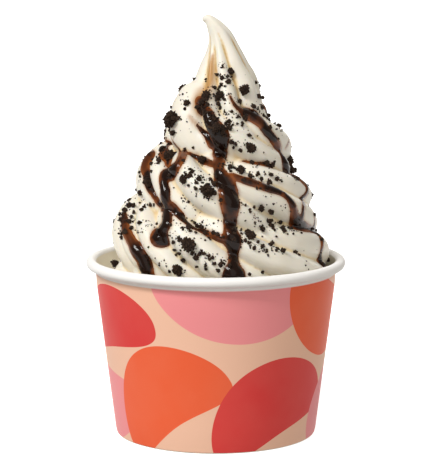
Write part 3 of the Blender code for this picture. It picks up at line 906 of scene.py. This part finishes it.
def ridged(widths):
    """Outline of unit radius as (radius, angle), with a round ridge for each width in degrees."""
    outline = []
    start = 0.0
    for width in widths:
        for j in range(POINTS_PER_RIDGE):
            share = j / POINTS_PER_RIDGE
            radius = 1 - RIDGE_DEPTH * (1 - math.sin(math.pi * share) ** RIDGE_ROUNDNESS)
            outline.append((radius, math.radians(start + width * share)))
        start += width
    return outline


def swept(name, stations, outline, twist_mode):
    """A rope of the outline along stations of (centre, radius, twist), as a closed mesh."""
    data = bpy.data.curves.new(name + "_outline", "CURVE")
    spline = data.splines.new("POLY")
    spline.points.add(len(outline) - 1)
    for point, (radius, angle) in zip(spline.points, outline):
        point.co = (radius * math.cos(angle), radius * math.sin(angle), 0.0, 1.0)
    spline.use_cyclic_u = True
    section = add_object(name + "_outline", data)

    data = bpy.data.curves.new(name, "CURVE")
    data.dimensions = "3D"
    data.twist_mode = twist_mode
    data.bevel_mode = "OBJECT"
    data.bevel_object = section
    data.use_fill_caps = True
    spline = data.splines.new("POLY")
    spline.points.add(len(stations) - 1)
    for point, (centre, radius, twist) in zip(spline.points, stations):
        point.co = (*centre, 1.0)
        point.radius = radius
        point.tilt = twist
    rope = add_object(name, data)
    make_active(rope)
    bpy.ops.object.convert(target="MESH")
    bpy.data.objects.remove(section)
    bpy.ops.object.mode_set(mode="EDIT")
    bpy.ops.mesh.select_all(action="SELECT")
    bpy.ops.mesh.remove_doubles(threshold=ROPE_MERGE)
    bpy.ops.mesh.normals_make_consistent(inside=False)
    bpy.ops.object.mode_set(mode="OBJECT")
    return rope


def coil_station(turn):
    """Centre of the rope, its radius and the twist of its ridges at a turn of the coil."""
    around = math.pi - 2 * math.pi * turn
    height = COIL_TURN_0_HEIGHT + COIL_PITCH * turn
    climbed = max(height - CONE_FOOT, 0.0) / CONE_HEIGHT
    outer = COIL_OUTER_RADIUS * (1 - climbed**CONE_FULLNESS)
    outer -= COIL_SINK * max((turn - COIL_SINK_START) / (COIL_END - COIL_SINK_START), 0.0) ** 2
    height += COIL_TILT * math.cos(around - math.radians(COIL_HIGH_SIDE))
    outer -= max(wall_radius(FILL_LEVEL) - wall_radius(height), 0.0)
    rope = ROPE_RADIUS - ROPE_TAPER * turn
    for middle, span, drop, inset, thinning in COIL_SAGS:
        sag = math.exp(-(((turn - middle) / span) ** 2)) * MM
        height -= drop * sag
        outer -= inset * sag
        rope -= thinning * sag
    reach = outer - rope
    centre = Vector((COIL_AXIS_X + reach * math.cos(around), reach * math.sin(around), height))
    twist = ROPE_TWIST * (2 * math.pi * turn + TWIST_SWAY * math.sin(2 * math.pi * turn))
    twist += math.radians(TWIST_START)
    return centre, rope, twist


def make_coil():
    count = round((COIL_END - COIL_START) * STEPS_PER_TURN)
    stations = [coil_station(COIL_START + i / STEPS_PER_TURN) for i in range(count + 1)]
    return swept("coil", stations, ridged(ROPE_RIDGES), "Z_UP")


def make_peak():
    heights, offsets, radii = zip(*PEAK_STATIONS)
    last = len(heights) - 1
    stations = []
    for i in range(last * PEAK_STEPS + 1):
        position = i / PEAK_STEPS
        centre = Vector((smooth_between(offsets, position), 0.0, smooth_between(heights, position))) * MM
        twist = math.radians(PEAK_START + PEAK_TWIST * (1 - position / last) ** PEAK_TWIST_EASE)
        stations.append((centre, smooth_between(radii, position) * MM, twist))
    return swept("peak", stations, ridged(PEAK_RIDGES), "MINIMUM")


def make_contents():
    """What fills the cup below the coil, and the middle of the coil."""
    foot = BASE_TOP + GAP
    inset = PAPER + GAP
    parts = []
    for low, high, low_radius, high_radius in (
        (foot, FILL_LEVEL, wall_radius(foot) - inset, wall_radius(FILL_LEVEL) - inset),
        (FILL_LEVEL / 2, CORE_TOP, CORE_RADIUS, CORE_RADIUS / 2),
    ):
        bpy.ops.mesh.primitive_cone_add(
            vertices=TURNED_STEPS, radius1=low_radius, radius2=high_radius, depth=high - low,
            location=(0, 0, (low + high) / 2))
        bpy.ops.object.transform_apply(location=True, rotation=True, scale=True)
        parts.append(bpy.context.object)
    return parts


def drop_small_shells(obj):
    """Leaves only the largest connected surface of a mesh."""
    make_active(obj)
    bpy.ops.object.mode_set(mode="EDIT")
    bpy.ops.mesh.select_all(action="SELECT")
    bpy.ops.mesh.separate(type="LOOSE")
    bpy.ops.object.mode_set(mode="OBJECT")
    shells = sorted(bpy.context.selected_objects, key=lambda shell: len(shell.data.vertices))
    name = obj.name
    kept = shells.pop()
    for shell in shells:
        bpy.data.objects.remove(shell)
    kept.name = name
    return kept


def thin_out(obj, ratio, group=""):
    """Leaves a share of the triangles, of the whole object or of the points in a group."""
    make_active(obj)
    modifier = obj.modifiers.new("Fewer", "DECIMATE")
    if group:
        modifier.vertex_group = group
        modifier.vertex_group_factor = 1.0
        inside = obj.vertex_groups[group].index
        count = sum(1 for vert in obj.data.vertices if vert.groups and vert.groups[0].group == inside)
        ratio = 1 - count / len(obj.data.vertices) * (1 - ratio)
    modifier.ratio = ratio
    apply_modifiers(obj)


def make_swirl(look):
    bpy.ops.object.select_all(action="DESELECT")
    swirl = join([make_coil(), make_peak(), *make_contents()], "soft_serve_swirl")
    remesh = swirl.modifiers.new("Join", "REMESH")
    remesh.mode = "VOXEL"
    remesh.voxel_size = CREAM_VOXEL
    apply_modifiers(swirl)
    swirl = drop_small_shells(swirl)
    mesh = swirl.data

    places = averaged(mesh, positions(mesh), CREAM_SMOOTHING)
    out = normals(mesh)
    for i, (place, direction) in enumerate(zip(places, out)):
        if place[2] > CREAM_WAVE_FOOT:
            places[i] += direction * noise.noise(Vector(place) / CREAM_WAVE_SIZE) * CREAM_WAVE
    mesh.vertices.foreach_set("co", places.ravel())
    mesh.update()

    hidden = swirl.vertex_groups.new(name="hidden")
    hidden.add([i for i, place in enumerate(places) if place[2] < HIDDEN_LEVEL], 1.0, "REPLACE")
    thin_out(swirl, HIDDEN_SHARE, "hidden")
    mesh = swirl.data
    mesh.calc_loop_triangles()
    if len(mesh.loop_triangles) > PIECE_TRIANGLES:
        thin_out(swirl, PIECE_TRIANGLES / len(mesh.loop_triangles))
    swirl.vertex_groups.clear()
    bpy.ops.object.shade_smooth()
    mesh = swirl.data
    places = positions(mesh)
    # How deep each point lies in a groove, kept for the painted shade there
    hollow = ((averaged(mesh, places, CREASE_SMOOTHING) - places) * normals(mesh)).sum(axis=1)
    slender = np.clip((places[:, 2] - SLENDER_FROM) / (SLENDER_TO - SLENDER_FROM), 0.0, 1.0)
    crease_shade = hollow * (1 + SLENDER_CREASES * slender) / CREASE_RANGE
    set_attribute(mesh, "crease_shade", np.clip(crease_shade, 0.0, CREASE_MOST))
    finish_piece(swirl, cream_material(look), "soft_serve")


# ---------------------------------------------------------------- sauce


def run_samples(surface, points):
    """Places along a run of sauce, each with its half-width, thickness and how steep its edge is."""
    rights, heights, widths = zip(*points)
    path, spans = [], []
    for i in range((len(points) - 1) * RUN_STEPS + 1):
        position = i / RUN_STEPS
        hit, _ = surface_at(surface, smooth_between(rights, position), smooth_between(heights, position))
        path.append(tuple(hit))
        spans.append(smooth_between(widths, position) * MM)
    path = np.array(path)
    for _ in range(RUN_SMOOTHING):
        path[1:-1] = (path[:-2] + path[1:-1] * 2 + path[2:]) / 4
    path = np.array([tuple(surface.find_nearest(Vector(place))[0]) for place in path])
    travelled = np.concatenate([[0.0], np.cumsum(np.linalg.norm(np.diff(path, axis=0), axis=1))])
    count = max(2, round(travelled[-1] / SAUCE_SPACING))
    samples = []
    for at in np.linspace(0.0, travelled[-1], count + 1):
        place = Vector([np.interp(at, travelled, path[:, axis]) for axis in range(3)])
        width = np.interp(at, travelled, spans)
        width *= 1 + WIDTH_WAVE * noise.noise(place / WIDTH_WAVE_SIZE)
        width *= min(RUN_START + at / RUN_SWELL, 1.0)
        drop = math.exp(-((travelled[-1] - at) / SAUCE_TIP) ** 2)
        thick = width * SAUCE_DEPTH * (1 + DROP_SWELL * drop)
        thick *= 1 + DEPTH_WAVE * noise.noise(place / DEPTH_WAVE_SIZE)
        edge = 1.0 + EDGE_WAVE * noise.noise(place / EDGE_WAVE_SIZE + EDGE_WAVE_PLACE)
        edge = min(max(edge, EDGE_POWERS[0]), EDGE_POWERS[1])
        samples.append((*place, width, thick, edge))
    return samples


def layer(places, samples):
    """Thickness of a layer over each place, below zero beyond its edge, and how deep inside it lies."""
    samples = np.array(samples)
    thickness = np.full(len(places), -SAUCE_REACH)
    inside = np.full(len(places), FAR_OUT)
    low, high = samples[:, :3].min(axis=0) - SAUCE_REACH, samples[:, :3].max(axis=0) + SAUCE_REACH
    near = np.nonzero(((places > low) & (places < high)).all(axis=1))[0]
    for block in np.array_split(near, max(1, len(near) // PLACES_AT_ONCE)):
        away = np.linalg.norm(places[block, None, :] - samples[None, :, :3], axis=2)
        share = away / samples[None, :, 3]
        height = np.where(
            share < 1,
            samples[None, :, 4] * np.maximum(1 - share**2, 0.0) ** samples[None, :, 5],
            -(away - samples[None, :, 3]) * EDGE_FALL,
        )
        thickness[block] = height.max(axis=1)
        inside[block] = share.min(axis=1)
    return thickness, inside


def make_sauce(look):
    swirl = bpy.data.objects["soft_serve_swirl"]
    mesh = swirl.data
    surface = surface_of(swirl)
    places = positions(mesh)
    runs = [layer(places, run_samples(surface, points)) for points in SAUCE_RUNS]
    thickness = np.max([thick for thick, _ in runs], axis=0)
    inside = np.min([share for _, share in runs], axis=0)
    stain = np.clip((STAIN_REACH + thickness) / STAIN_REACH, 0.0, 1.0)
    set_attribute(mesh, "stain", averaged(mesh, stain, EDGE_SMOOTHING) * STAIN_STRENGTH)

    _, share = layer(places, run_samples(surface, PEAK_STAIN))
    caramel = np.clip(CARAMEL_REACH - share, 0.0, 1.0)
    set_attribute(mesh, "caramel", averaged(mesh, caramel, CARAMEL_SMOOTHING))

    # the sheet of sauce: the ice cream's own surface, raised, with the grooves under it filled
    filled = averaged(mesh, places, GROOVE_SMOOTHING)
    out = averaged(mesh, normals(mesh), DIRECTION_SMOOTHING)
    out /= np.linalg.norm(out, axis=1)[:, None]
    groove = np.clip(((filled - places) * out).sum(axis=1), 0.0, GROOVE_DEEPEST)
    rise = averaged(mesh, np.clip(thickness, SAUCE_LOWEST, None), EDGE_SMOOTHING).ravel()
    covered = np.clip(GROOVE_REACH - inside, 0.0, 1.0)
    total = rise + groove * covered * np.clip(rise / GROOVE_FULL, 0.0, 1.0)

    sheet = mesh.copy()
    sheet.name = "chocolate_sauce"
    sauce = add_object("chocolate_sauce", sheet)
    raised = places + out * total[:, None]
    held = np.clip(rise / SHEET_FIRM, 0.0, 1.0)[:, None]
    raised += (averaged(mesh, raised, SHEET_SMOOTHING) - raised) * held
    bridged = np.clip(groove / BRIDGED_GROOVE, 0.0, 1.0)
    bridged = averaged(mesh, bridged, BRIDGE_EDGE_SMOOTHING) * held
    raised += (averaged(mesh, raised, BRIDGE_SMOOTHING) - raised) * bridged
    sheet.vertices.foreach_set("co", raised.ravel())
    for name in ("crease_shade", "stain", "caramel"):
        sheet.attributes.remove(sheet.attributes[name])
    set_attribute(sheet, "thickness", np.clip(total / MM, 0.0, THICKEST))
    bm = bmesh.new()
    bm.from_mesh(sheet)
    bare = [face for face in bm.faces if all(rise[vert.index] < -SAUCE_EDGE for vert in face.verts)]
    bmesh.ops.delete(bm, geom=bare, context="FACES")
    bm.to_mesh(sheet)
    bm.free()
    solidify = sauce.modifiers.new("Sheet", "SOLIDIFY")
    solidify.thickness = SAUCE_SHEET
    solidify.offset = -1
    apply_modifiers(sauce)
    bpy.ops.object.shade_smooth()
    finish_piece(sauce, sauce_material(look), "soft_serve")


# ---------------------------------------------------------------- crumbs


def crumb_kind(subdivisions, lumps, nubs, seed):
    """Points of unit size and triangles of one crumb."""
    bpy.ops.object.select_all(action="DESELECT")
    bpy.ops.mesh.primitive_ico_sphere_add(subdivisions=subdivisions, radius=0.5)
    obj = bpy.context.object
    offset = Vector([seed * step for step in KIND_STEPS])
    for vert in obj.data.vertices:
        away = vert.co.normalized()
        lump = noise.noise(away * LUMP_SCALE + offset)
        near, next_near = noise.voronoi(away * NUB_SCALE + offset)[0][:2]
        nub = min(1.0, (next_near - near) * NUB_SLOPE) - NUB_MIDDLE
        rough = noise.noise(away * ROUGH_SCALE + offset)
        vert.co = away * 0.5 * (CRUMB_BODY + lumps * lump + nubs * nub + ROUGH_SHARE * nubs * rough)
    obj.data.calc_loop_triangles()
    corners = np.empty(len(obj.data.loop_triangles) * 3, dtype=np.int64)
    obj.data.loop_triangles.foreach_get("vertices", corners)
    shape = positions(obj.data)
    shape /= np.ptp(shape, axis=0).mean()
    bpy.data.objects.remove(obj)
    return shape, corners.reshape(-1, 3)


def crumb_copies(name, kinds, placed, draw):
    """One piece of crumbs, from (kind, place, size) of each."""
    points, faces, count = [], [], 0
    for kind, place, size in placed:
        shape, corners = kinds[kind]
        turn = Vector([draw.uniform(-1, 1) for _ in range(3)]).to_track_quat("Z", "Y").to_matrix()
        stretch = np.array([draw.uniform(*CRUMB_STRETCH) for _ in range(3)])
        points.append((shape * stretch) @ np.array(turn).T * size + np.array(place))
        faces.append(corners + count)
        count += len(shape)
    points, faces = np.concatenate(points), np.concatenate(faces)
    mesh = bpy.data.meshes.new(name)
    mesh.from_pydata(points.tolist(), [], faces.tolist())
    return add_object(name, mesh)


def make_crumbs(look):
    surface = surface_of(bpy.data.objects["soft_serve_swirl"], bpy.data.objects["chocolate_sauce"])
    draw = random.Random(CRUMB_SEED)
    listed = list(CRUMBS)
    for k in range(BACK_CRUMBS):
        right = BACK_SIDE[0] + (BACK_SIDE[1] - BACK_SIDE[0]) * (k + draw.random()) / BACK_CRUMBS
        listed.append((right, draw.uniform(*BACK_HEIGHTS), draw.uniform(*BACK_SIZES)))
    listed += [(right, height, size * SMALLER_SCALE) for right, height, size in SMALLER_CRUMBS]
    for _ in range(BACK_SMALLER_CRUMBS):
        listed.append([draw.uniform(*span) for span in (BACK_SIDE, BACK_HEIGHTS, BACK_SMALLER_SIZES)])
    kinds = [
        crumb_kind(subdivisions, *CRUMB_ROUGHNESS, k + subdivisions * KIND_SEEDS)
        for subdivisions, _ in CRUMB_FINENESS
        for k in range(CRUMB_KINDS)
    ]
    placed = []
    for right, height, size in listed:
        hit, normal = surface_at(surface, right, height)
        fineness = sum(size >= least for _, least in CRUMB_FINENESS) - 1
        kind = draw.randrange(CRUMB_KINDS) + CRUMB_KINDS * fineness
        placed.append((kind, hit + normal * size * CRUMB_LIFT * MM, size * MM))
    crumbs = crumb_copies("cookie_crumbs", kinds, placed, draw)
    finish_piece(crumbs, crumb_material(look), "soft_serve")


def make_fine_crumbs(look):
    surface = surface_of(bpy.data.objects["soft_serve_swirl"], bpy.data.objects["chocolate_sauce"])
    draw = random.Random(FINE_SEED)
    clusters = list(CRUMB_CLUSTERS)
    for _ in range(BACK_CLUSTERS):
        spans = (BACK_SIDE, BACK_CLUSTER_HEIGHTS, BACK_CLUSTER_SPREADS)
        clusters.append((*[draw.uniform(*span) for span in spans], draw.randrange(*BACK_CLUSTER_COUNTS)))
    kinds = [crumb_kind(*shape, k + seed) for *shape, seed in FINE_SHAPES for k in range(FINE_KINDS)]

    def lay(right, height, steep):
        """One fine crumb, if the ice cream is met there."""
        is_grain = draw.random() < GRAIN_SHARE
        small, large = GRAIN_SIZES if is_grain else DUST_SIZES
        size = small + (large - small) * draw.random() ** 2
        hit, normal = surface_at(surface, right, height, steep)
        if hit is not None and hit.z > FILL_LEVEL and draw.random() < STEEP_STAY + LEVEL_STAY * normal.z:
            kind = draw.randrange(FINE_KINDS) + FINE_KINDS * is_grain
            placed.append((kind, hit + normal * size * FINE_LIFT * MM, size * MM))

    placed = []
    for right, height, spread, count in clusters:
        radius = SWIRL_TOP_RADIUS + max(0.0, SWIRL_TOP - height) * SWIRL_SLOPE
        for _ in range(round(count * CLUSTER_FULLNESS * look.fine_share)):
            around = draw.uniform(0, 2 * math.pi)
            away = abs(draw.gauss(0, spread * CLUSTER_TIGHTNESS))
            along = away * math.cos(around) * CLUSTER_LENGTH
            across = away * math.sin(around) * CLUSTER_WIDTH
            aside = along * math.cos(CLUSTER_SLOPE) + across * math.sin(CLUSTER_SLOPE)
            up = -along * math.sin(CLUSTER_SLOPE) + across * math.cos(CLUSTER_SLOPE)
            lay(right + math.degrees(aside / radius), height + up, CLUSTER_FALL)
    for _ in range(round(LOOSE_CRUMBS * look.fine_share)):
        lay(draw.uniform(*ALL_ROUND), draw.uniform(*LOOSE_HEIGHTS), LOOSE_FALL)
    crumbs = crumb_copies("fine_crumbs", kinds, placed, draw)
    finish_piece(crumbs, crumb_material(look), "soft_serve")


# ---------------------------------------------------------------- stage


def sun_light(name, azimuth, elevation, spread, strength, colour):
    """A far, soft light from degrees to the right of the front and above level."""
    data = bpy.data.lights.new(name, "SUN")
    data.angle = math.radians(spread)
    data.energy = strength
    data.color = colour
    light = add_object(name, data)
    away = math.radians(azimuth - 90)
    rise = math.radians(elevation)
    place = Vector((math.cos(away) * math.cos(rise), math.sin(away) * math.cos(rise), math.sin(rise)))
    light.location = place
    light.rotation_euler = place.to_track_quat("Z", "Y").to_euler()


def make_stage():
    bpy.ops.mesh.primitive_plane_add(size=FLOOR_SIZE, location=(0, 0, 0))
    floor = bpy.context.object
    floor.name = "floor"
    floor.data.materials.append(floor_material())
    floor.visible_diffuse = False  # its glow doesn't light the cup

    scene = bpy.context.scene
    world = bpy.data.worlds.new("studio")
    world.use_nodes = True
    background = world.node_tree.nodes["Background"]
    background.inputs["Color"].default_value = WORLD_COLOUR
    background.inputs["Strength"].default_value = WORLD_STRENGTH
    scene.world = world
    for light in LIGHTS:
        sun_light(*light)

    data = bpy.data.cameras.new("camera")
    data.lens = CAMERA_LENS
    data.sensor_width = CAMERA_SENSOR
    camera = add_object("camera", data)
    camera.location = CAMERA_PLACE
    camera.rotation_euler = (math.radians(90 - CAMERA_PITCH), 0.0, 0.0)
    scene.camera = camera
    scene.view_settings.view_transform = "Standard"


# ---------------------------------------------------------------- operators


class SOFTSERVE_OT_cup_wall(bpy.types.Operator):
    """Make the cup's printed wall with its rolled rim"""

    bl_idname = "softserve.cup_wall"
    bl_label = "Cup Wall"

    def execute(self, context):
        make_cup_wall(context.scene.soft_serve_look)
        return {"FINISHED"}


class SOFTSERVE_OT_cup_base(bpy.types.Operator):
    """Make the cup's plain base"""

    bl_idname = "softserve.cup_base"
    bl_label = "Cup Base"

    def execute(self, context):
        make_cup_base(context.scene.soft_serve_look)
        return {"FINISHED"}


class SOFTSERVE_OT_swirl(bpy.types.Operator):
    """Make the ice cream: the cup's contents, the coiled rope and its peak"""

    bl_idname = "softserve.swirl"
    bl_label = "Ice Cream"

    def execute(self, context):
        make_swirl(context.scene.soft_serve_look)
        return {"FINISHED"}


class SOFTSERVE_OT_sauce(bpy.types.Operator):
    """Pour the sauce over the ice cream"""

    bl_idname = "softserve.sauce"
    bl_label = "Sauce"

    def execute(self, context):
        make_sauce(context.scene.soft_serve_look)
        return {"FINISHED"}


class SOFTSERVE_OT_crumbs(bpy.types.Operator):
    """Put the larger crumbs on the ice cream"""

    bl_idname = "softserve.crumbs"
    bl_label = "Crumbs"

    def execute(self, context):
        make_crumbs(context.scene.soft_serve_look)
        return {"FINISHED"}


class SOFTSERVE_OT_fine_crumbs(bpy.types.Operator):
    """Scatter the fine crumbs over the ice cream"""

    bl_idname = "softserve.fine_crumbs"
    bl_label = "Fine Crumbs"

    def execute(self, context):
        make_fine_crumbs(context.scene.soft_serve_look)
        return {"FINISHED"}


class SOFTSERVE_OT_stage(bpy.types.Operator):
    """Set up the floor, the light and the camera"""

    bl_idname = "softserve.stage"
    bl_label = "Stage"

    def execute(self, context):
        make_stage()
        return {"FINISHED"}


OPERATORS = (
    SOFTSERVE_OT_cup_wall,
    SOFTSERVE_OT_cup_base,
    SOFTSERVE_OT_swirl,
    SOFTSERVE_OT_sauce,
    SOFTSERVE_OT_crumbs,
    SOFTSERVE_OT_fine_crumbs,
    SOFTSERVE_OT_stage,
)


class SOFTSERVE_PT_panel(bpy.types.Panel):
    """Lists the soft serve cup's pieces and colours"""

    bl_idname = "SOFTSERVE_PT_panel"
    bl_label = "Soft Serve Cup"
    bl_space_type = "VIEW_3D"
    bl_region_type = "UI"
    bl_category = "Soft Serve"

    def draw(self, context):
        look = context.scene.soft_serve_look
        for name in SoftServeLook.__annotations__:
            self.layout.prop(look, name)
        for operator in OPERATORS:
            self.layout.operator(operator.bl_idname)


CLASSES = (SoftServeLook, *OPERATORS, SOFTSERVE_PT_panel)


def register():
    for cls in CLASSES:
        bpy.utils.register_class(cls)
    bpy.types.Scene.soft_serve_look = bpy.props.PointerProperty(type=SoftServeLook)


def unregister():
    del bpy.types.Scene.soft_serve_look
    for cls in reversed(CLASSES):
        bpy.utils.unregister_class(cls)


def main():
    register()
    bpy.ops.softserve.cup_wall()
    bpy.ops.softserve.cup_base()
    bpy.ops.softserve.swirl()
    bpy.ops.softserve.sauce()
    bpy.ops.softserve.crumbs()
    bpy.ops.softserve.fine_crumbs()
    bpy.ops.softserve.stage()


if __name__ == "__main__":
    main()
